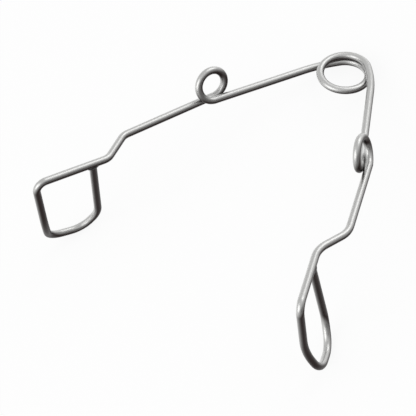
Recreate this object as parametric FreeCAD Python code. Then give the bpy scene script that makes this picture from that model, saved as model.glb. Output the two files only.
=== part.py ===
import FreeCAD, Part
import math
import os

# Self retaining wire retractor: one round spring wire, coiled in the middle, whose two arms end
# in looped blades. Each blade's loop is closed by a weld under its own top bar.
# Sizes are in millimetres and angles in degrees.
#
# The wire is laid out lying level, with the coil's axis upright and the arms towards -Y, and is
# then stood on the table on three points: the back of the coil and the bottoms of both blades.
# The frame's origin is the middle of the part's footprint, on the table. +Z is up, the coil is
# at the +Y end, the left arm is on the -X side and the right arm on the +X side.

# Wire
WIRE_DIAMETER = 1.5

# Spring coil at the top, wound clockwise upwards from the left arm to the right arm
COIL_MEAN_RADIUS = 4.7
COIL_TURN_GAP = 0.1

# Root of each arm, where the wire eases off the coil
ROOT_BEND_ANGLE = 17.4
ROOT_BEND_RADIUS = 25.0

# Inner arm, from the root bend to the eyelet. Splay is the angle out from the middle line.
INNER_ARM_SPLAY_ANGLE = 28.8
INNER_ARM_LENGTH = {"left": 19.1, "right": 20.4}

# Eyelet, one standing turn that leans outwards by the angle given
EYELET_MEAN_RADIUS = 3.0
EYELET_TURN_GAP = 0.1
EYELET_LEAN_ANGLE = {"left": 15.5, "right": -12.1}

# Outer arm, from the eyelet to the crank. Lengths are from corner to corner of the wire's line.
OUTER_ARM_SPLAY_ANGLE = 21.7
OUTER_ARM_LENGTH = {"left": 19.7, "right": 18.0}
EYELET_EXIT_RADIUS = 3.0

# Crank, the step inwards before the blade
CRANK_SPLAY_ANGLE = -15.0
CRANK_LENGTH = 7.4
CRANK_OUTER_RADIUS = 2.8
CRANK_INNER_RADIUS = 3.0

# Blade, a hanging loop: front corner, knee, toe, heel, ankle and weld. Setbacks run back towards the
# coil, flares outwards and drops down. The knee hangs from the top bar, the toe drops from the knee
# and the heel from the toe, and the ankle rises behind the heel. The heel is set back by its ratio of
# the top bar. The tilt swings the whole loop outwards about its bar.
BLADE_SPLAY_ANGLE = 22.9
BLADE_RISE_ANGLE = 4.0
BLADE_TILT_ANGLE = {"left": 2.3, "right": -2.3}
TOP_BAR_LENGTH = 15.7
CRANK_TO_WELD = {"left": 3.4, "right": 4.9}
FRONT_CORNER_RADIUS = 1.9
KNEE_SETBACK = 1.8
KNEE_FLARE = 1.1
KNEE_DROP = 13.6
KNEE_RADIUS = 8.0
TOE_SETBACK = 3.7
FOOT_FLARE = 4.0
TOE_DROP = 6.4
TOE_RADIUS = 5.0
HEEL_SETBACK_RATIO = 0.7
HEEL_DROP = 0.9
HEEL_RADIUS = 4.0
ANKLE_SETBACK = 3.1
ANKLE_FLARE = 2.5
ANKLE_RISE = 4.4
ANKLE_RADIUS = 5.2

# Weld bead where the wire's end meets the top bar
WELD_LEG_ON_BAR = 0.6
WELD_LEG_ON_UPRIGHT = 0.9
WELD_HOLLOW_RATIO = 0.3
WELD_SIDE_BULGE = 0.04

# Accuracy of the search for the three points that the part stands on
POINTS_PER_EDGE = 240
SEAT_ROUNDS = 12

WIRE_RADIUS = WIRE_DIAMETER / 2
COIL_PITCH = WIRE_DIAMETER + COIL_TURN_GAP
EYELET_PITCH = WIRE_DIAMETER + EYELET_TURN_GAP
FULL_TURN_ANGLE = 360.0
HALF_TURN_ANGLE = 180.0
SIDES = ("left", "right")
UP = FreeCAD.Vector(0, 0, 1)

# The coil starts and ends where the wire already heads within ROOT_BEND_ANGLE of its arm.
COIL_ARC_ANGLE = FULL_TURN_ANGLE + HALF_TURN_ANGLE - 2 * (INNER_ARM_SPLAY_ANGLE + ROOT_BEND_ANGLE)
COIL_TURNS = COIL_ARC_ANGLE / FULL_TURN_ANGLE
COIL_HEIGHT = COIL_PITCH * COIL_TURNS


def sign_of(side):
    """Sign of a side along X in the layout."""
    return 1 if side == "right" else -1


def turned(vector, axis, angle):
    """The vector turned about an axis by the right-hand rule."""
    return FreeCAD.Rotation(axis, angle).multVec(vector)


def arm_heading(side, splay, rise=0.0):
    """Unit direction away from the coil, splayed out from the middle line and rising."""
    level = math.cos(math.radians(rise))
    across = sign_of(side) * math.sin(math.radians(splay)) * level
    along = -math.cos(math.radians(splay)) * level
    return FreeCAD.Vector(across, along, math.sin(math.radians(rise)))


def outward_of(side, heading):
    """Level unit direction square to a heading, away from the other arm."""
    return (UP.cross(heading) * sign_of(side)).normalize()


def helix_edges(centre, start, axis, pitch, turns, left_handed):
    """True helix about an axis through centre, from the point start, as a list of edges."""
    spoke = start - centre
    helix = Part.makeHelix(pitch, pitch * turns, spoke.Length)
    if left_handed:
        helix = helix.mirror(FreeCAD.Vector(0, 0, 0), FreeCAD.Vector(0, 1, 0))
    across = axis.cross(spoke)
    helix.Placement = FreeCAD.Placement(centre, FreeCAD.Rotation(spoke, across, axis, "ZXY"))
    return helix.Edges


class WireBender:
    """The wire as it is formed: where its end is, where it heads, and the stretch in hand."""

    def __init__(self, point, heading):
        self.point = point
        self.heading = heading
        self.edges = []

    def feed(self, length):
        """Feed a straight run of wire."""
        end = self.point + self.heading * length
        self.edges.append(Part.LineSegment(self.point, end).toShape())
        self.point = end

    def bend_to(self, heading, radius):
        """Bend the wire round a pin until it heads the new way."""
        turn = self.heading.getAngle(heading)
        inwards = (heading - self.heading * math.cos(turn)).normalize()
        middle = self.arc_point(inwards, radius, turn / 2)
        end = self.arc_point(inwards, radius, turn)
        self.edges.append(Part.Arc(self.point, middle, end).toShape())
        self.point = end
        self.heading = FreeCAD.Vector(heading)

    def arc_point(self, inwards, radius, turn):
        """Point that the wire's end reaches after part of a bend."""
        return (self.point + inwards * (radius * (1 - math.cos(turn)))
                + self.heading * (radius * math.sin(turn)))

    def run_to_bend(self, corner, heading, radius):
        """Feed towards a corner and stop where the bend round it starts."""
        setback = radius * math.tan(self.heading.getAngle(heading) / 2)
        self.feed((corner - self.point).Length - setback)

    def wrap_eyelet(self, side):
        """Wrap one standing turn that comes down on the outward side of the arriving wire."""
        upright = turned(UP, self.heading, sign_of(side) * -EYELET_LEAN_ANGLE[side])
        outward = upright.cross(self.heading) * sign_of(side)
        slope = math.atan2(EYELET_PITCH, 2 * math.pi * EYELET_MEAN_RADIUS)
        axis = self.heading * math.sin(slope) + outward * math.cos(slope)
        centre = self.point + upright * EYELET_MEAN_RADIUS
        self.edges += helix_edges(centre, self.point, axis, EYELET_PITCH, 1, side == "right")
        self.point = self.point + axis * EYELET_PITCH

    def take(self):
        """The edges since the last take, as one stretch of wire."""
        stretch = self.edges
        self.edges = []
        return stretch


def coil_point(side):
    """End of the coil's centreline on one side."""
    angle = math.radians(INNER_ARM_SPLAY_ANGLE + ROOT_BEND_ANGLE)
    across = sign_of(side) * COIL_MEAN_RADIUS * math.cos(angle)
    back = COIL_MEAN_RADIUS * math.sin(angle)
    return FreeCAD.Vector(across, back, sign_of(side) * COIL_HEIGHT / 2)


def coil_heading(side):
    """Direction in which the wire leaves the coil on one side, on the slope of its helix."""
    slope = math.degrees(math.atan2(COIL_PITCH, 2 * math.pi * COIL_MEAN_RADIUS))
    return arm_heading(side, INNER_ARM_SPLAY_ANGLE + ROOT_BEND_ANGLE, sign_of(side) * slope)


def coil_route():
    """Centreline of the coil, from the left arm up to the right arm."""
    start = coil_point("left")
    foot = FreeCAD.Vector(0, 0, start.z)
    return helix_edges(foot, start, UP, COIL_PITCH, COIL_TURNS, True)


def arm_route(side, wire):
    """Centreline of an arm, as edges by stretch. The wire starts at the coil and is left at the crank."""
    stretches = {}
    wire.bend_to(arm_heading(side, INNER_ARM_SPLAY_ANGLE), ROOT_BEND_RADIUS)
    wire.feed(INNER_ARM_LENGTH[side])
    stretches["inner_arm"] = wire.take()
    wire.wrap_eyelet(side)
    wire.bend_to(arm_heading(side, OUTER_ARM_SPLAY_ANGLE), EYELET_EXIT_RADIUS)
    stretches["eyelet"] = wire.take()

    crank = arm_heading(side, CRANK_SPLAY_ANGLE, BLADE_RISE_ANGLE)
    bar = arm_heading(side, BLADE_SPLAY_ANGLE, BLADE_RISE_ANGLE)
    outer_corner = wire.point + wire.heading * OUTER_ARM_LENGTH[side]
    inner_corner = outer_corner + crank * CRANK_LENGTH
    wire.run_to_bend(outer_corner, crank, CRANK_OUTER_RADIUS)
    stretches["outer_arm"] = wire.take()
    wire.bend_to(crank, CRANK_OUTER_RADIUS)
    wire.run_to_bend(inner_corner, bar, CRANK_INNER_RADIUS)
    wire.bend_to(bar, CRANK_INNER_RADIUS)
    stretches["crank"] = wire.take()
    return stretches, inner_corner


def blade_corners(side, inner_corner):
    """Corners of the blade's loop: front corner, knee, toe, heel, ankle and weld."""
    bar = arm_heading(side, BLADE_SPLAY_ANGLE, BLADE_RISE_ANGLE)
    level_outward = outward_of(side, bar)
    hinge = level_outward.cross(UP)
    outward = turned(level_outward, hinge, BLADE_TILT_ANGLE[side])
    up = turned(UP, hinge, BLADE_TILT_ANGLE[side])
    front = inner_corner + bar * TOP_BAR_LENGTH
    weld = inner_corner + bar * CRANK_TO_WELD[side]
    knee = front - bar * KNEE_SETBACK + outward * KNEE_FLARE - up * KNEE_DROP
    toe = front - bar * TOE_SETBACK + outward * FOOT_FLARE - up * (KNEE_DROP + TOE_DROP)
    heel_setback = HEEL_SETBACK_RATIO * TOP_BAR_LENGTH
    heel_drop = KNEE_DROP + TOE_DROP + HEEL_DROP
    heel = front - bar * heel_setback + outward * FOOT_FLARE - up * heel_drop
    ankle_drop = heel_drop - ANKLE_RISE
    ankle = front - bar * (heel_setback + ANKLE_SETBACK) + outward * ANKLE_FLARE - up * ankle_drop
    return front, knee, toe, heel, ankle, weld


def blade_route(side, wire, inner_corner):
    """Centreline of a blade's loop, as edges by stretch, ending on the top bar's own line."""
    front, knee, toe, heel, ankle, weld = blade_corners(side, inner_corner)
    down = (knee - front).normalize()
    outwards = (toe - knee).normalize()
    back = (heel - toe).normalize()
    upwards = (ankle - heel).normalize()
    home = (weld - ankle).normalize()
    stretches = {}
    wire.run_to_bend(front, down, FRONT_CORNER_RADIUS)
    stretches["blade_top_bar"] = wire.take()
    wire.bend_to(down, FRONT_CORNER_RADIUS)
    wire.run_to_bend(knee, outwards, KNEE_RADIUS)
    stretches["blade_front_upright"] = wire.take()
    wire.bend_to(outwards, KNEE_RADIUS)
    wire.run_to_bend(toe, back, TOE_RADIUS)
    wire.bend_to(back, TOE_RADIUS)
    wire.run_to_bend(heel, upwards, HEEL_RADIUS)
    wire.bend_to(upwards, HEEL_RADIUS)
    wire.run_to_bend(ankle, home, ANKLE_RADIUS)
    wire.bend_to(home, ANKLE_RADIUS)
    stretches["blade_bottom_bar"] = wire.take()
    wire.feed((weld - wire.point).Length)
    stretches["blade_back_upright"] = wire.take()
    return stretches


def wire_routes():
    """Centreline of the whole wire, as edges by node name."""
    routes = {"spring_coil": coil_route()}
    for side in SIDES:
        wire = WireBender(coil_point(side), coil_heading(side))
        arm, inner_corner = arm_route(side, wire)
        blade = blade_route(side, wire, inner_corner)
        for name, edges in {**arm, **blade}.items():
            routes[f"{side}_{name}"] = edges
    return routes


def start_of(edge):
    """Point and heading at an edge's start."""
    first = edge.FirstParameter
    return edge.valueAt(first), edge.tangentAt(first)


def wire_solid(edges):
    """Round wire along a stretch of centreline."""
    point, heading = start_of(edges[0])
    section = Part.Wire(Part.Circle(point, heading, WIRE_RADIUS).toShape())
    return Part.Wire(edges).makePipeShell([section], True, False)


def weld_bead(foot, towards_bar, bar_heading):
    """Hollow-sided bead round the wire's end, seated on the bar it is welded to."""
    root = WIRE_RADIUS + WELD_LEG_ON_BAR
    height = WIRE_RADIUS + WELD_LEG_ON_UPRIGHT
    sag = FreeCAD.Vector(WIRE_RADIUS + WELD_LEG_ON_BAR * WELD_HOLLOW_RATIO, 0,
                         WIRE_RADIUS + WELD_LEG_ON_UPRIGHT * WELD_HOLLOW_RATIO)
    corners = [FreeCAD.Vector(0, 0, 0), FreeCAD.Vector(root, 0, 0), FreeCAD.Vector(root, 0, WIRE_RADIUS),
               FreeCAD.Vector(WIRE_RADIUS, 0, height), FreeCAD.Vector(0, 0, height)]
    outline = Part.Wire([Part.LineSegment(corners[0], corners[1]).toShape(),
                         Part.LineSegment(corners[1], corners[2]).toShape(),
                         Part.Arc(corners[2], sag, corners[3]).toShape(),
                         Part.LineSegment(corners[3], corners[4]).toShape(),
                         Part.LineSegment(corners[4], corners[0]).toShape()])
    flare = Part.Face(outline).revolve(FreeCAD.Vector(0, 0, 0), UP, FULL_TURN_ANGLE)
    narrowing = FreeCAD.Matrix()
    narrowing.scale(1, (WIRE_RADIUS + WELD_SIDE_BULGE) / root, 1)
    bead = flare.transformGeometry(narrowing)
    down = towards_bar * -1
    lying = FreeCAD.Rotation(bar_heading, down.cross(bar_heading), down, "ZXY")
    bead.Placement = FreeCAD.Placement(foot, lying)
    bar = Part.makeCylinder(WIRE_RADIUS, 4 * root, foot - bar_heading * (2 * root), bar_heading)
    upright = Part.makeCylinder(WIRE_RADIUS, 2 * height, foot, down)
    return bead.cut(bar).cut(upright)


def blade_end(side, routes, solids):
    """Cope the wire's end to the top bar and add the weld bead that closes the loop."""
    upright_name = f"{side}_blade_back_upright"
    bar_heading = start_of(routes[f"{side}_blade_top_bar"][0])[1]
    upright = routes[upright_name][-1]
    foot = upright.valueAt(upright.LastParameter)
    towards_bar = start_of(upright)[1]
    bar = Part.makeCylinder(WIRE_RADIUS, 2 * TOP_BAR_LENGTH, foot - bar_heading * TOP_BAR_LENGTH, bar_heading)
    solids[upright_name] = solids[upright_name].cut(bar)
    solids[f"{side}_blade_weld"] = weld_bead(foot, towards_bar, bar_heading)


def support_point(points, up):
    """The lowest of some points when the part stands with up upwards."""
    return min(points, key=lambda point: point.dot(up))


def standing_up_direction(routes):
    """Direction, in the wire's own layout, that is upwards when it stands on its three points."""
    feet = [["spring_coil"], ["left_blade_bottom_bar"], ["right_blade_bottom_bar"]]
    clouds = [[point for name in foot for edge in routes[name] for point in edge.discretize(POINTS_PER_EDGE)]
              for foot in feet]
    up = UP
    for _ in range(SEAT_ROUNDS):
        coil, left, right = [support_point(cloud, up) for cloud in clouds]
        up = (coil - left).cross(right - left).normalize()
        if up.z < 0:
            up = up * -1
    return up


def standing_placement(routes):
    """Placement that stands the laid-out wire on the table, centred on its footprint."""
    turn = FreeCAD.Rotation(standing_up_direction(routes), UP)
    points = [turn.multVec(point) for edges in routes.values() for edge in edges
              for point in edge.discretize(POINTS_PER_EDGE)]
    middle_x = (min(p.x for p in points) + max(p.x for p in points)) / 2
    middle_y = (min(p.y for p in points) + max(p.y for p in points)) / 2
    table = min(p.z for p in points) - WIRE_RADIUS
    return FreeCAD.Placement(FreeCAD.Vector(-middle_x, -middle_y, -table), turn)


def build():
    """Every node of the retractor as a solid, standing in the part's own frame."""
    routes = wire_routes()
    solids = {name: wire_solid(edges) for name, edges in routes.items()}
    for side in SIDES:
        blade_end(side, routes, solids)
    standing = standing_placement(routes)
    for solid in solids.values():
        solid.Placement = standing.multiply(solid.Placement)
    return solids, routes


def report(solids, routes):
    """Print each wire stretch's volume against its section times its length."""
    section = math.pi * WIRE_RADIUS ** 2
    for name, solid in solids.items():
        line = f"{name}: {len(solid.Solids)} solid, valid {solid.isValid()}, volume {solid.Volume:.3f} mm3"
        if name in routes:
            length = sum(edge.Length for edge in routes[name])
            line += f", section times length {section * length:.3f}"
        print(line)


def main():
    """Build the part and write one STEP file for each node."""
    os.makedirs("parts", exist_ok=True)
    solids, routes = build()
    report(solids, routes)
    for name, solid in solids.items():
        solid.exportStep(f"parts/{name}.step")


if __name__ == "__main__":
    main()
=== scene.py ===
"""Self retaining wire retractor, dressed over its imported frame.

One round stainless spring wire is bent to shape: a coil in the middle, and on each side an inner
arm, a standing eyelet, an outer arm, a crank and a looped blade. Two dark weld beads close the
blades' loops. Lengths are in metres and angles in degrees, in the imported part's own frame: +Z is
up, the coil is at the +Y end, the left arm is on the -X side and the right arm on the +X side.
"""

import logging
import math
from dataclasses import dataclass, field
from enum import Enum

import bmesh
import bpy
from mathutils import Euler, Matrix, Vector


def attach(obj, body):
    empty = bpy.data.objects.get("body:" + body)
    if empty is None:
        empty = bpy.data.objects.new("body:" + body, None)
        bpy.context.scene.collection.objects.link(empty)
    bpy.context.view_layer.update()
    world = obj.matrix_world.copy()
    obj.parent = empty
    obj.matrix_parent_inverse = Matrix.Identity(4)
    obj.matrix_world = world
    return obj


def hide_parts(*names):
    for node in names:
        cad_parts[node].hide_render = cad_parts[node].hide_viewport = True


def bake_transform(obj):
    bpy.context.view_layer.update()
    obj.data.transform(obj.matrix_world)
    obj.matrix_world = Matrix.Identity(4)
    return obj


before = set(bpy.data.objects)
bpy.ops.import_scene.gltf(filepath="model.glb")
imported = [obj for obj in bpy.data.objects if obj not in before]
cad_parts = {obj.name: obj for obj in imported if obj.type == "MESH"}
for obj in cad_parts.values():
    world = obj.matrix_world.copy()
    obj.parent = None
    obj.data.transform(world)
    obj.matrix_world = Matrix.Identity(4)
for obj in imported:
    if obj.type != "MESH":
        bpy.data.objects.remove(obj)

LOG = logging.getLogger("retractor")

MM = 0.001
WIRE_DIAMETER = 1.5 * MM
WIRE_RADIUS = WIRE_DIAMETER / 2
TURN_PITCH = WIRE_DIAMETER + 0.1 * MM
POINTS_ROUND_WIRE = 32
STEP_ANGLE = 2.5
FULL_TURN_ANGLE = 360.0
QUARTER_TURN_ANGLE = 90
PLACE_ATTRIBUTE = "wire_place"
BEAD_ENDING = "_bead"
UP = Vector((0, 0, 1))

# Angles that two neighbouring parts of the wire share: out from the middle line, and upwards.
INNER_ARM_SPLAY = 28.8
BLADE_SPLAY = 22.9
BLADE_RISE = 4.0

# How the wire, laid out level round its coil, stands on the table.
COIL_CENTRE = Vector((1.079338 * MM, 26.495564 * MM, 3.078397 * MM))
STANDING_YAW = -0.460349
STANDING_PITCH = 2.66371
STANDING_ROLL = -19.6069


class Side(Enum):
    """A side of the retractor, as in the CAD nodes' names."""

    LEFT = "left"
    RIGHT = "right"

    @property
    def sign(self) -> int:
        """Sign of the side along X."""
        return 1 if self is Side.RIGHT else -1

    @property
    def body(self) -> str:
        """CAD body that this side's pieces ride on."""
        return f"{self.value}_arm"


class Slot(Enum):
    """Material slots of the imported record."""

    SPRING_WIRE = "spring_wire"
    WELD = "weld"


def heading_of(side: Side, splay: float, rise: float = 0.0) -> Vector:
    """Unit direction away from the coil in the level layout.

    Args:
        side: The side that it splays towards.
        splay: Angle out from the middle line.
        rise: Angle above the level.

    Returns:
        The direction.
    """
    splay, rise = math.radians(splay), math.radians(rise)
    across = side.sign * math.sin(splay) * math.cos(rise)
    return Vector((across, -math.cos(splay) * math.cos(rise), math.sin(rise)))


def standing_matrix() -> Matrix:
    """Matrix that takes the level layout to where the retractor stands."""
    angles = [math.radians(angle) for angle in (STANDING_ROLL, STANDING_PITCH, STANDING_YAW)]
    return Matrix.Translation(COIL_CENTRE) @ Euler(angles, "XYZ").to_matrix().to_4x4()


class WireBender:
    """Round wire as it is formed: its end ring is drawn along, and the wire follows.

    Each stretch of wire is a closed mesh of its own. The attribute wire_place holds each point's
    place round the wire, as a cosine and a sine, and along it, in wire radii.
    """

    def __init__(self, point: Vector, heading: Vector) -> None:
        """Start a wire.

        Args:
            point: Centre of the wire's end.
            heading: Direction in which it is drawn.
        """
        self.point = point.copy()
        self.heading = heading.normalized()
        self.ring_axis = self.heading.orthogonal().normalized()
        self.run = 0.0
        self.mesh: bmesh.types.BMesh | None = None

    def start_stretch(self) -> None:
        """Start a new mesh at the wire's end, in step with the last one's points."""
        self.mesh = bmesh.new()
        self.place = self.mesh.verts.layers.float_vector.new(PLACE_ATTRIBUTE)
        across = self.heading.cross(self.ring_axis)
        turn = Matrix((self.ring_axis, across, self.heading)).transposed().to_4x4()
        bmesh.ops.create_circle(self.mesh, segments=POINTS_ROUND_WIRE, radius=WIRE_RADIUS,
                                matrix=Matrix.Translation(self.point) @ turn)
        for vert in self.mesh.verts:
            spoke = (vert.co - self.point) / WIRE_RADIUS
            vert[self.place] = (spoke.dot(self.ring_axis), spoke.dot(across), self.run)
        self.ring = list(self.mesh.edges)
        self.cap()

    def cap(self) -> None:
        """Close the wire's end with a flat face that keeps a crisp rim."""
        bmesh.ops.edgeloop_fill(self.mesh, edges=self.ring)
        for edge in self.ring:
            edge.smooth = False

    def draw(self, move: Matrix, length: float) -> None:
        """Draw the wire's end along by one step.

        Args:
            move: Matrix of the step.
            length: Length of wire in the step.
        """
        if self.mesh is None:
            self.start_stretch()
        drawn = bmesh.ops.extrude_edge_only(self.mesh, edges=self.ring)["geom"]
        verts = [item for item in drawn if isinstance(item, bmesh.types.BMVert)]
        self.ring = [item for item in drawn if isinstance(item, bmesh.types.BMEdge)]
        bmesh.ops.transform(self.mesh, matrix=move, verts=verts)
        self.run += length / WIRE_RADIUS
        for vert in verts:
            vert[self.place].z = self.run
        self.point = move @ self.point
        self.heading = (move.to_3x3() @ self.heading).normalized()
        self.ring_axis = (move.to_3x3() @ self.ring_axis).normalized()

    def feed(self, length: float) -> None:
        """Feed a straight run of the given length."""
        self.draw(Matrix.Translation(self.heading * length), length)

    def wind(self, centre: Vector, axis: Vector, angle: float, pitch: float = 0.0) -> None:
        """Wind the wire round an axis.

        Args:
            centre: A point on the axis.
            axis: Direction of the axis. The turn is by the right-hand rule about it.
            angle: Angle wound, negative for the other way.
            pitch: Travel along the axis in a full turn.
        """
        axis = axis.normalized()
        steps = max(2, math.ceil(abs(angle) / STEP_ANGLE))
        step = math.radians(angle) / steps
        travel = pitch * abs(step) / math.tau
        spoke = (self.point - centre) - axis * (self.point - centre).dot(axis)
        length = math.hypot(spoke.length * step, travel)
        turn = (Matrix.Translation(axis * travel) @ Matrix.Translation(centre)
                @ Matrix.Rotation(step, 4, axis) @ Matrix.Translation(-centre))
        for _ in range(steps):
            self.draw(turn, length)

    def bend_to(self, heading: Vector, radius: float) -> None:
        """Bend the wire round a pin until it heads the new way.

        Args:
            heading: The new direction.
            radius: Radius of the wire's line in the bend.
        """
        turn = self.heading.angle(heading)
        inwards = (heading - self.heading * math.cos(turn)).normalized()
        self.wind(self.point + inwards * radius, self.heading.cross(inwards), math.degrees(turn))

    def run_to_bend(self, corner: Vector, heading: Vector, radius: float) -> None:
        """Feed towards a corner and stop where the bend round it starts.

        Args:
            corner: Where the two runs' lines meet.
            heading: Direction of the next run.
            radius: Radius of the bend.
        """
        setback = radius * math.tan(self.heading.angle(heading) / 2)
        self.feed((corner - self.point).length - setback)

    def take(self, node: str) -> bpy.types.Object:
        """End the stretch. The next draw starts another.

        Args:
            node: The CAD node that the stretch stands for.

        Returns:
            The stretch as a smooth closed piece, standing on the table.
        """
        self.cap()
        bmesh.ops.recalc_face_normals(self.mesh, faces=self.mesh.faces)
        bmesh.ops.transform(self.mesh, matrix=standing_matrix(), verts=self.mesh.verts)
        piece = piece_from(self.mesh, f"{node}_wire")
        self.mesh = None
        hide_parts(node)
        return piece


def piece_from(mesh: bmesh.types.BMesh, name: str) -> bpy.types.Object:
    """Turn a bmesh into a smooth object in the scene.

    Args:
        mesh: The bmesh, which is freed.
        name: Name of the object and its mesh.

    Returns:
        The object.
    """
    for face in mesh.faces:
        face.smooth = True
    data = bpy.data.meshes.new(name)
    mesh.to_mesh(data)
    mesh.free()
    piece = bpy.data.objects.new(name, data)
    bpy.context.scene.collection.objects.link(piece)
    return piece


@dataclass(frozen=True)
class SteelWithPaintedShade:
    """Satin stainless steel, with fine drawing marks along the wire.

    It is brightest on surfaces that face the bright side and near black on those that face away:
    this is painted shade in the base colour. The two thresholds say how far that way a surface
    faces where it is darkest and where it is brightest.
    """

    name: str
    slot: Slot
    bright: tuple[float, float, float]
    dark: tuple[float, float, float]
    roughness: float
    painted_light_side: tuple[float, float, float] = (-0.41, 0.1, 0.905)
    painted_shade_from: float = -0.3
    painted_light_from: float = 0.68
    mark_depth: float = 0.012 * MM
    mark_strength: float = 0.25
    mark_detail: float = 3.0
    marks_round_wire: float = 5.0
    marks_along_wire: float = 0.05

    def material(self) -> bpy.types.Material:
        """Build the material.

        Returns:
            A metallic material that is darker where it faces away from the bright side.
        """
        material = bpy.data.materials.new(self.name)
        material.use_nodes = True
        nodes, links = material.node_tree.nodes, material.node_tree.links
        shader = nodes["Principled BSDF"]
        shader.inputs["Metallic"].default_value = 1.0
        shader.inputs["Roughness"].default_value = self.roughness

        # Painted shade: the base colour runs from the dark colour to the bright one by the
        # object-space normal's way towards the bright side.
        facing = nodes.new("ShaderNodeTexCoord")
        light_facing = nodes.new("ShaderNodeVectorMath")
        light_facing.operation = "DOT_PRODUCT"
        light_facing.inputs[1].default_value = self.painted_light_side
        links.new(facing.outputs["Normal"], light_facing.inputs[0])
        painted_shade_mask = nodes.new("ShaderNodeMapRange")
        painted_shade_mask.interpolation_type = "SMOOTHSTEP"
        painted_shade_mask.inputs["From Min"].default_value = self.painted_shade_from
        painted_shade_mask.inputs["From Max"].default_value = self.painted_light_from
        links.new(light_facing.outputs["Value"], painted_shade_mask.inputs["Value"])
        shaded_colour = nodes.new("ShaderNodeMix")
        shaded_colour.data_type = "RGBA"
        shaded_colour.inputs["A"].default_value = (*self.dark, 1)
        shaded_colour.inputs["B"].default_value = (*self.bright, 1)
        links.new(painted_shade_mask.outputs["Result"], shaded_colour.inputs["Factor"])
        links.new(shaded_colour.outputs["Result"], shader.inputs["Base Color"])

        place = nodes.new("ShaderNodeAttribute")
        place.attribute_name = PLACE_ATTRIBUTE
        stretch = nodes.new("ShaderNodeMapping")
        stretch.inputs["Scale"].default_value = (self.marks_round_wire, self.marks_round_wire,
                                                 self.marks_along_wire)
        marks = nodes.new("ShaderNodeTexNoise")
        marks.inputs["Detail"].default_value = self.mark_detail
        bump = nodes.new("ShaderNodeBump")
        bump.inputs["Strength"].default_value = self.mark_strength
        bump.inputs["Distance"].default_value = self.mark_depth
        links.new(place.outputs["Vector"], stretch.inputs["Vector"])
        links.new(stretch.outputs["Vector"], marks.inputs["Vector"])
        links.new(marks.outputs["Fac"], bump.inputs["Height"])
        links.new(bump.outputs["Normal"], shader.inputs["Normal"])
        return material


# Both carry painted shade: near-black colour on surfaces that face away from the bright side. The
# weld's overall dark colour is its own.
WIRE_STEEL_WITH_PAINTED_SHADE = SteelWithPaintedShade("satin_spring_steel", Slot.SPRING_WIRE, bright=(0.68, 0.68, 0.67),
                          dark=(0.019, 0.012, 0.011), roughness=0.38)
WELD_STEEL_WITH_PAINTED_SHADE = SteelWithPaintedShade("heat_darkened_weld", Slot.WELD, bright=(0.13, 0.125, 0.12),
                          dark=(0.012, 0.010, 0.010), roughness=0.42)


@dataclass
class SpringCoil:
    """Sprung coil that joins the arms, wound clockwise upwards from the left to the right."""

    turns: float = 1.5
    mean_radius: float = 4.7 * MM
    pitch: float = TURN_PITCH
    arm_splay: float = INNER_ARM_SPLAY
    root_bend: float = 17.4
    blend_reach: float = 0.3 * MM

    @property
    def arc(self) -> float:
        """Angle that the coil is wound through, which both arms' roots shorten."""
        return self.turns * FULL_TURN_ANGLE - 2 * (self.arm_splay + self.root_bend)

    def end(self, side: Side) -> Vector:
        """End of the coil's line on one side, in the level layout."""
        angle = math.radians(self.arm_splay + self.root_bend)
        height = self.pitch * self.arc / FULL_TURN_ANGLE
        return Vector((side.sign * self.mean_radius * math.cos(angle),
                       self.mean_radius * math.sin(angle), side.sign * height / 2))

    def end_heading(self, side: Side) -> Vector:
        """Direction in which the wire leaves the coil on one side."""
        slope = math.degrees(math.atan2(self.pitch, math.tau * self.mean_radius))
        return heading_of(side, self.arm_splay + self.root_bend, side.sign * slope)

    def build(self) -> bpy.types.Object:
        """Build the coil, which winds up as the arms are squeezed.

        Returns:
            The coil.
        """
        start = self.end(Side.LEFT)
        wire = WireBender(start, -self.end_heading(Side.LEFT))
        wire.wind(Vector((0, 0, start.z)), UP, -self.arc, self.pitch)
        coil = wire.take("spring_coil")
        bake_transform(coil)
        return coil


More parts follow.
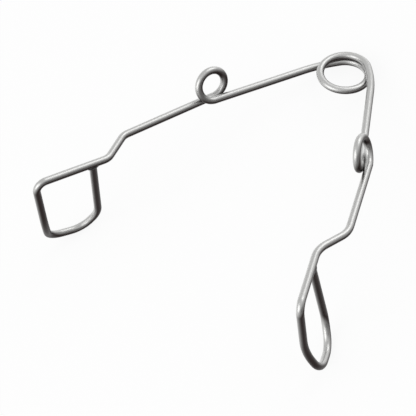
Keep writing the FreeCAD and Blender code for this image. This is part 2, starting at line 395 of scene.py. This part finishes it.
@dataclass
class Arm:
    """Arm from the coil to the blade: inner arm, standing eyelet, outer arm and crank.

    The inner corner is where the crank's line meets the top bar's, known once the arm is bent.
    """

    side: Side
    inner_length: float
    outer_length: float
    eyelet_lean: float
    splay: float = INNER_ARM_SPLAY
    root_radius: float = 25.0 * MM
    eyelet_radius: float = 3.0 * MM
    eyelet_pitch: float = TURN_PITCH
    eyelet_exit_radius: float = 3.0 * MM
    outer_splay: float = 21.7
    crank_splay: float = -15.0
    crank_length: float = 7.4 * MM
    crank_outer_radius: float = 2.8 * MM
    crank_inner_radius: float = 3.0 * MM
    blade_splay: float = BLADE_SPLAY
    blade_rise: float = BLADE_RISE
    inner_corner: Vector = field(init=False)

    def build(self, wire: WireBender) -> list[bpy.types.Object]:
        """Bend the arm.

        Args:
            wire: The wire, where it leaves the coil. It is left at the crank's end.

        Returns:
            The arm's pieces.
        """
        name = self.side.value
        wire.bend_to(heading_of(self.side, self.splay), self.root_radius)
        wire.feed(self.inner_length)
        pieces = [wire.take(f"{name}_inner_arm")]
        self.wrap_eyelet(wire)
        wire.bend_to(heading_of(self.side, self.outer_splay), self.eyelet_exit_radius)
        pieces.append(wire.take(f"{name}_eyelet"))

        crank = heading_of(self.side, self.crank_splay, self.blade_rise)
        bar = heading_of(self.side, self.blade_splay, self.blade_rise)
        outer_corner = wire.point + wire.heading * self.outer_length
        self.inner_corner = outer_corner + crank * self.crank_length
        wire.run_to_bend(outer_corner, crank, self.crank_outer_radius)
        pieces.append(wire.take(f"{name}_outer_arm"))
        wire.bend_to(crank, self.crank_outer_radius)
        wire.run_to_bend(self.inner_corner, bar, self.crank_inner_radius)
        wire.bend_to(bar, self.crank_inner_radius)
        pieces.append(wire.take(f"{name}_crank"))
        return pieces

    def wrap_eyelet(self, wire: WireBender) -> None:
        """Wrap one standing turn that comes down on the outward side of the arriving wire."""
        sign = self.side.sign
        lean = Matrix.Rotation(math.radians(-sign * self.eyelet_lean), 3, wire.heading)
        upright = lean @ UP
        outward = upright.cross(wire.heading) * sign
        slope = math.atan2(self.eyelet_pitch, math.tau * self.eyelet_radius)
        axis = wire.heading * math.sin(slope) + outward * math.cos(slope)
        centre = wire.point + upright * self.eyelet_radius
        wire.wind(centre, axis, -sign * FULL_TURN_ANGLE, self.eyelet_pitch)


@dataclass
class Blade:
    """Hanging wire-loop blade, closed by a weld under its own top bar.

    The loop's corners are given from its front corner: how far each lies back towards the coil,
    outwards and down. The tilt swings the whole loop outwards about its bar.
    """

    side: Side
    tilt: float
    crank_to_weld: float
    splay: float = BLADE_SPLAY
    rise: float = BLADE_RISE
    top_bar_length: float = 15.7 * MM
    front_corner_radius: float = 1.9 * MM
    knee: Vector = field(default_factory=lambda: Vector((1.8, 1.1, 13.6)) * MM)
    knee_radius: float = 20.0 * MM
    toe: Vector = field(default_factory=lambda: Vector((3.7, 4.0, 20.0)) * MM)
    toe_radius: float = 5.0 * MM
    heel: Vector = field(default_factory=lambda: Vector((10.99, 4.0, 20.9)) * MM)
    heel_radius: float = 4.0 * MM
    ankle: Vector = field(default_factory=lambda: Vector((14.09, 2.5, 16.5)) * MM)
    ankle_radius: float = 5.2 * MM
    weld_leg_on_bar: float = 0.6 * MM
    weld_leg_on_upright: float = 0.9 * MM
    weld_side_bulge: float = 0.04 * MM
    weld_step_angle: int = 10
    weld_merge_distance: float = 1e-7

    def corner(self, front: Vector, offset: Vector) -> Vector:
        """Corner of the loop, from its front corner.

        Args:
            front: The front corner.
            offset: How far the corner lies back towards the coil, outwards and down.

        Returns:
            The corner in the level layout.
        """
        bar = heading_of(self.side, self.splay, self.rise)
        outward = UP.cross(bar).normalized() * self.side.sign
        tilt = Matrix.Rotation(math.radians(self.tilt), 3, outward.cross(UP))
        return front - bar * offset.x + tilt @ (outward * offset.y - UP * offset.z)

    def build(self, wire: WireBender, inner_corner: Vector) -> list[bpy.types.Object]:
        """Bend the loop and weld it.

        Args:
            wire: The wire, at the crank's end.
            inner_corner: Where the crank's line meets the top bar's.

        Returns:
            The blade's pieces.
        """
        name = self.side.value
        bar = heading_of(self.side, self.splay, self.rise)
        front = inner_corner + bar * self.top_bar_length
        weld = inner_corner + bar * self.crank_to_weld
        knee, toe, heel, ankle = [self.corner(front, offset)
                                  for offset in (self.knee, self.toe, self.heel, self.ankle)]
        down, outwards = (knee - front).normalized(), (toe - knee).normalized()
        back, upwards = (heel - toe).normalized(), (ankle - heel).normalized()
        home = (weld - ankle).normalized()

        wire.run_to_bend(front, down, self.front_corner_radius)
        pieces = [wire.take(f"{name}_blade_top_bar")]
        wire.bend_to(down, self.front_corner_radius)
        wire.run_to_bend(knee, outwards, self.knee_radius)
        pieces.append(wire.take(f"{name}_blade_front_upright"))
        wire.bend_to(outwards, self.knee_radius)
        wire.run_to_bend(toe, back, self.toe_radius)
        wire.bend_to(back, self.toe_radius)
        wire.run_to_bend(heel, upwards, self.heel_radius)
        wire.bend_to(upwards, self.heel_radius)
        wire.run_to_bend(ankle, home, self.ankle_radius)
        wire.bend_to(home, self.ankle_radius)
        pieces.append(wire.take(f"{name}_blade_bottom_bar"))
        wire.feed((weld - wire.point).length)
        pieces.append(wire.take(f"{name}_blade_back_upright"))
        pieces.append(self.weld_bead(weld, home, bar))
        return pieces

    def weld_bead(self, foot: Vector, towards_bar: Vector, bar: Vector) -> bpy.types.Object:
        """Build the hollow-sided bead where the wire's end meets the top bar.

        Args:
            foot: Where the two wires' lines meet.
            towards_bar: Direction in which the wire arrives.
            bar: Direction of the top bar.

        Returns:
            The bead.
        """
        root = WIRE_RADIUS + self.weld_leg_on_bar
        height = WIRE_RADIUS + self.weld_leg_on_upright
        mesh = bmesh.new()
        profile = [Vector((0, 0, 0)), Vector((root, 0, 0))]
        profile += [self.weld_profile_point(root, height, turn)
                    for turn in range(0, QUARTER_TURN_ANGLE + 1, self.weld_step_angle)]
        profile.append(Vector((0, 0, height)))
        verts = [mesh.verts.new(point) for point in profile]
        edges = [mesh.edges.new(pair) for pair in zip(verts, verts[1:])]
        bmesh.ops.spin(mesh, geom=verts + edges, cent=(0, 0, 0), axis=UP, angle=math.tau,
                       steps=POINTS_ROUND_WIRE, use_merge=True)
        bmesh.ops.remove_doubles(mesh, verts=mesh.verts, dist=self.weld_merge_distance)
        bmesh.ops.recalc_face_normals(mesh, faces=mesh.faces)
        narrowing = (WIRE_RADIUS + self.weld_side_bulge) / root
        bmesh.ops.scale(mesh, vec=Vector((1, narrowing, 1)), verts=mesh.verts)
        down = -towards_bar.normalized()
        across = down.cross(bar).normalized()
        along = across.cross(down)
        turn = Matrix((along, across, down)).transposed().to_4x4()
        bmesh.ops.transform(mesh, matrix=standing_matrix() @ Matrix.Translation(foot) @ turn,
                            verts=mesh.verts)
        node = f"{self.side.value}_blade_weld"
        piece = piece_from(mesh, f"{node}{BEAD_ENDING}")
        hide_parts(node)
        return piece

    def weld_profile_point(self, root: float, height: float, turn: float) -> Vector:
        """Point of the bead's hollow side.

        Args:
            root: The bead's radius on the bar.
            height: Its height on the upright.
            turn: How far along the hollow the point is, from 0 at the bar to 90 at the upright.

        Returns:
            The point, in the bead's own XZ plane.
        """
        angle = math.radians(turn)
        return Vector((root - self.weld_leg_on_bar * math.sin(angle), 0,
                       height - self.weld_leg_on_upright * math.cos(angle)))


@dataclass
class Retractor:
    """The whole retractor."""

    coil: SpringCoil = field(default_factory=SpringCoil)
    arms: list[Arm] = field(default_factory=lambda: [
        Arm(Side.LEFT, inner_length=19.1 * MM, outer_length=19.7 * MM, eyelet_lean=15.5),
        Arm(Side.RIGHT, inner_length=20.4 * MM, outer_length=18.0 * MM, eyelet_lean=-12.1,
            crank_outer_radius=5.0 * MM, crank_inner_radius=6.0 * MM)])
    blades: list[Blade] = field(default_factory=lambda: [
        Blade(Side.LEFT, tilt=2.3, crank_to_weld=3.4 * MM),
        Blade(Side.RIGHT, tilt=-2.3, crank_to_weld=4.9 * MM)])

    def build(self) -> None:
        """Build, dress and mount every piece."""
        steels = {shaded_steel.slot: shaded_steel.material() for shaded_steel in (WIRE_STEEL_WITH_PAINTED_SHADE, WELD_STEEL_WITH_PAINTED_SHADE)}
        dress(self.coil.build(), steels[Slot.SPRING_WIRE])
        for arm, blade in zip(self.arms, self.blades):
            wire = WireBender(self.coil.end(arm.side), self.coil.end_heading(arm.side))
            pieces = arm.build(wire)
            pieces += blade.build(wire, arm.inner_corner)
            for piece in pieces:
                slot = Slot.WELD if piece.name.endswith(BEAD_ENDING) else Slot.SPRING_WIRE
                dress(piece, steels[slot])
                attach(piece, arm.side.body)


def dress(piece: bpy.types.Object, material: bpy.types.Material) -> None:
    """Give a piece its material, with painted shade, and report it.

    Args:
        piece: The piece.
        material: Its material.
    """
    piece.data.materials.append(material)
    LOG.info("%s: %d faces", piece.name, len(piece.data.polygons))


@dataclass(frozen=True)
class SoftBox:
    """A square soft light, aimed at the retractor."""

    name: str
    azimuth: float
    elevation: float
    distance: float
    size: float
    power: float

    def build(self) -> None:
        """Build the light."""
        lamp = bpy.data.lights.new(self.name, "AREA")
        lamp.shape = "SQUARE"
        lamp.size = self.size
        lamp.energy = self.power
        light = bpy.data.objects.new(self.name, lamp)
        back = back_of_view(self.azimuth, self.elevation)
        light.location = back * self.distance
        light.rotation_euler = back.to_track_quat("Z", "Y").to_euler()
        bpy.context.scene.collection.objects.link(light)


def back_of_view(azimuth: float, elevation: float) -> Vector:
    """Unit direction from the retractor to a viewer.

    Args:
        azimuth: 0 looks along +Y and 90 along -X.
        elevation: Angle above the horizon.

    Returns:
        The direction.
    """
    azimuth, elevation = math.radians(azimuth), math.radians(elevation)
    return Vector((math.sin(azimuth) * math.cos(elevation),
                   -math.cos(azimuth) * math.cos(elevation), math.sin(elevation)))


@dataclass
class Studio:
    """Plain pale floor, soft light and the photograph's camera."""

    floor_half_width: float = 3.0
    floor_colour: tuple[float, float, float] = (0.98, 0.98, 0.98)
    shadow_share: float = 0.1
    surround: float = 0.65
    dark_side: float = 0.12
    dark_azimuth: float = 72.0
    dark_elevation: float = -5.0
    dark_reach: float = 50.0
    lights: tuple[SoftBox, ...] = (
        SoftBox("left_box", azimuth=-17, elevation=38, distance=0.8, size=0.7, power=2.0),
        SoftBox("back_box", azimuth=172, elevation=37, distance=0.8, size=0.55, power=1.1),
    )
    azimuth: float = 58.521
    elevation: float = 56.208
    roll: float = -28.374
    distance: float = 455.23 * MM
    lens: float = 200.21
    clip_start: float = 0.01
    clip_end: float = 10.0
    target: Vector = field(default_factory=lambda: Vector((-10.328, -8.875, -2.772)) * MM)

    def build(self) -> None:
        """Build the floor, the surround, the lights and the camera."""
        self.build_floor()
        self.build_surround()
        for light in self.lights:
            light.build()
        self.build_camera()
        bpy.context.scene.view_settings.view_transform = "Standard"

    def build_floor(self) -> None:
        """Build the floor, which looks white and keeps a faint shadow."""
        mesh = bmesh.new()
        bmesh.ops.create_grid(mesh, x_segments=1, y_segments=1, size=self.floor_half_width)
        floor = piece_from(mesh, "floor")
        material = bpy.data.materials.new("white_floor")
        material.use_nodes = True
        nodes, links = material.node_tree.nodes, material.node_tree.links
        nodes.remove(nodes["Principled BSDF"])
        paper = nodes.new("ShaderNodeBsdfDiffuse")
        paper.inputs["Color"].default_value = (*self.floor_colour, 1)
        white = nodes.new("ShaderNodeEmission")
        seen = self.add_seen_factor(material.node_tree, 1 - self.shadow_share)
        mix = nodes.new("ShaderNodeMixShader")
        links.new(seen, mix.inputs[0])
        links.new(paper.outputs["BSDF"], mix.inputs[1])
        links.new(white.outputs["Emission"], mix.inputs[2])
        links.new(mix.outputs["Shader"], nodes["Material Output"].inputs["Surface"])
        floor.data.materials.append(material)

    def add_seen_factor(self, tree: bpy.types.NodeTree, share: float) -> bpy.types.NodeSocket:
        """Add nodes that tell the camera's and the reflections' rays from the light's.

        Args:
            tree: The node tree.
            share: Factor for rays that see the background.

        Returns:
            The socket with the factor, 0 for the light's own rays.
        """
        nodes, links = tree.nodes, tree.links
        path = nodes.new("ShaderNodeLightPath")
        total = path.outputs["Is Camera Ray"]
        for ray in ("Is Glossy Ray", "Is Transmission Ray"):
            add = nodes.new("ShaderNodeMath")
            add.operation = "MAXIMUM"
            links.new(total, add.inputs[0])
            links.new(path.outputs[ray], add.inputs[1])
            total = add.outputs["Value"]
        scale = nodes.new("ShaderNodeMath")
        scale.operation = "MULTIPLY"
        scale.inputs[1].default_value = share
        links.new(total, scale.inputs[0])
        return scale.outputs["Value"]

    def build_surround(self) -> None:
        """Build the plain surround, pale but for the dark side of the room in front."""
        world = bpy.data.worlds.new("surround")
        world.use_nodes = True
        nodes, links = world.node_tree.nodes, world.node_tree.links
        background = nodes["Background"]
        background.inputs["Color"].default_value = (1, 1, 1, 1)
        way = nodes.new("ShaderNodeTexCoord")
        front = nodes.new("ShaderNodeVectorMath")
        front.operation = "DOT_PRODUCT"
        front.inputs[1].default_value = back_of_view(self.dark_azimuth, self.dark_elevation)
        fade = nodes.new("ShaderNodeMapRange")
        fade.interpolation_type = "SMOOTHSTEP"
        fade.inputs["From Min"].default_value = math.cos(math.radians(self.dark_reach))
        fade.inputs["To Min"].default_value = self.surround
        fade.inputs["To Max"].default_value = self.dark_side
        links.new(way.outputs["Generated"], front.inputs[0])
        links.new(front.outputs["Value"], fade.inputs["Value"])
        links.new(fade.outputs["Result"], background.inputs["Strength"])
        bpy.context.scene.world = world

    def build_camera(self) -> None:
        """Build the camera at the photograph's viewing angle."""
        back = back_of_view(self.azimuth, self.elevation)
        azimuth = math.radians(self.azimuth)
        roll = Matrix.Rotation(math.radians(self.roll), 3, back)
        right = roll @ Vector((math.cos(azimuth), math.sin(azimuth), 0))
        above = back.cross(right)
        data = bpy.data.cameras.new("photo_camera")
        data.lens = self.lens
        data.clip_start, data.clip_end = self.clip_start, self.clip_end
        camera = bpy.data.objects.new("photo_camera", data)
        place = Matrix((right, above, back)).transposed().to_4x4()
        place.translation = self.target + back * self.distance
        camera.matrix_world = place
        bpy.context.scene.collection.objects.link(camera)
        bpy.context.scene.camera = camera


def main() -> None:
    """Dress the retractor and set up the studio."""
    logging.basicConfig(level=logging.INFO, format="%(name)s %(message)s")
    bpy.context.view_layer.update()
    Retractor().build()
    Studio().build()


if __name__ == "__main__":
    main()
